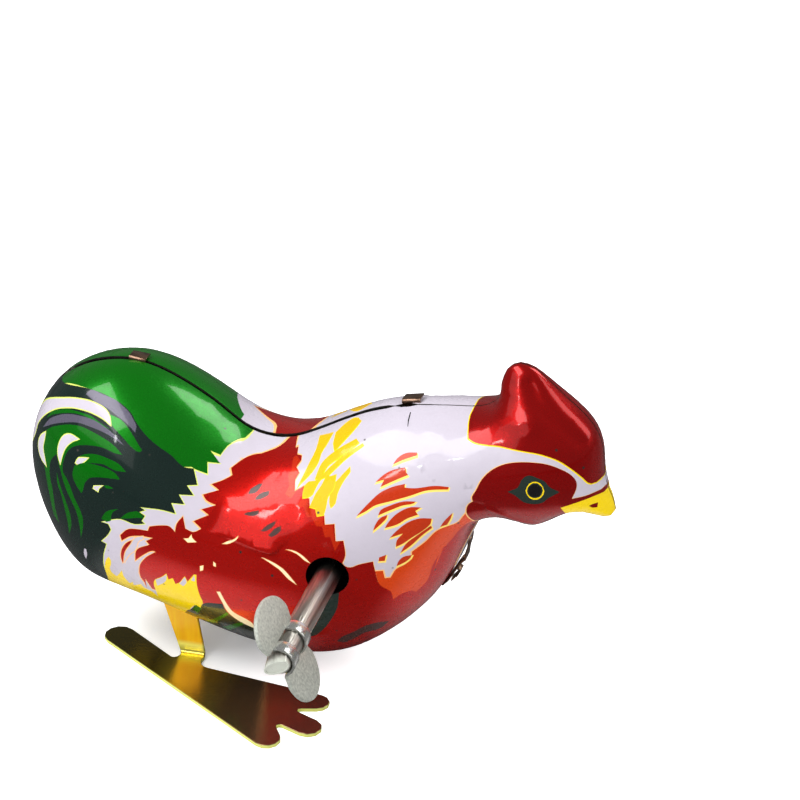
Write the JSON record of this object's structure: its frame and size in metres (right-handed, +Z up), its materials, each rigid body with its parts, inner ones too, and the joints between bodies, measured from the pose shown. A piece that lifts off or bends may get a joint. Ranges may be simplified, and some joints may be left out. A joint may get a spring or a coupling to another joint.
{
  "type": "wind-up hopping bird",
  "caption": "Tin clockwork rooster whose body is pressed from sheet halves, standing on stamped feet that a spring motor kicks, wound by a butterfly key.",
  "frame": {"origin": "middle of the bounding box's base, on the surface that the soles stand on", "axes": "+X towards the beak, +Y towards the toy's left side, away from the key, +Z up"},
  "size_m": [0.0944, 0.0728, 0.0562],
  "materials": {
    "lithographed_tin": "glossy printed tin, mostly red, green and white plumage",
    "passivated_steel": "yellow passivated, satin",
    "plated_steel": "plated, bright with draw lines",
    "galvanised_steel": "dull grey, finely grained",
    "plain_steel": "plain rolled",
    "spring_steel": "blued",
    "brass": "stamped, unpolished"
  },
  "bodies": {
    "frame": {"shell_right": "lithographed_tin", "shell_left": "lithographed_tin", "frame_plate_right": "plain_steel", "frame_plate_left": "plain_steel", "front_pillar": "plain_steel", "top_pillar": "plain_steel", "rear_pillar": "plain_steel", "belly_pillar": "plain_steel", "mainspring": "spring_steel"},
    "great_wheel": {"great_wheel": "brass", "click_rivet": "plain_steel"},
    "click": {"click": "plain_steel"},
    "winder": {"winding_arbor": "plain_steel", "ratchet_wheel": "plain_steel", "key_tube": "plated_steel", "key_blade": "galvanised_steel"},
    "second": {"second_arbor": "plain_steel", "second_pinion": "brass", "second_wheel": "brass"},
    "crank": {"crank_arbor": "plain_steel", "crank_pinion": "brass", "crank_disc": "plain_steel", "crank_pin": "plain_steel"},
    "legs": {"leg_axle": "plain_steel", "right_foot": "passivated_steel", "left_foot": "passivated_steel", "kick_lever": "plain_steel", "right_washer": "plain_steel", "left_washer": "plain_steel"}
  },
  "joints": [
    {"name": "train_spin", "type": "hinge", "parent": "frame", "child": "great_wheel", "pos_m": [0.00597, 0.0065, 0.0245], "axis": [0, 1, 0], "continuous": true},
    {"name": "click_lift", "type": "hinge", "parent": "great_wheel", "child": "click", "pos_m": [0.00309, 0.0065, 0.03239], "axis": [0, -1, 0], "range_deg": [0, 12], "stiffness_Nm_per_rad": 0.00005, "springref_deg": -17.19},
    {"name": "key_wind", "type": "hinge", "parent": "great_wheel", "child": "winder", "pos_m": [0.00597, 0.0065, 0.0245], "axis": [0, 1, 0], "continuous": true},
    {"name": "second_spin", "type": "hinge", "parent": "frame", "child": "second", "pos_m": [-0.00781, 0.0065, 0.0254], "axis": [0, 1, 0], "continuous": true},
    {"name": "crank_spin", "type": "hinge", "parent": "frame", "child": "crank", "pos_m": [-0.01513, 0.0065, 0.0186], "axis": [0, 1, 0], "continuous": true},
    {"name": "leg_kick", "type": "hinge", "parent": "frame", "child": "legs", "pos_m": [-0.02303, 0.0065, 0.017], "axis": [0, 1, 0], "range_deg": [0, 30]}
  ],
  "couplings": [
    {"joint": "second_spin", "follows": "train_spin", "ratio": -3.6},
    {"joint": "crank_spin", "follows": "train_spin", "ratio": 10.8}
  ]
}
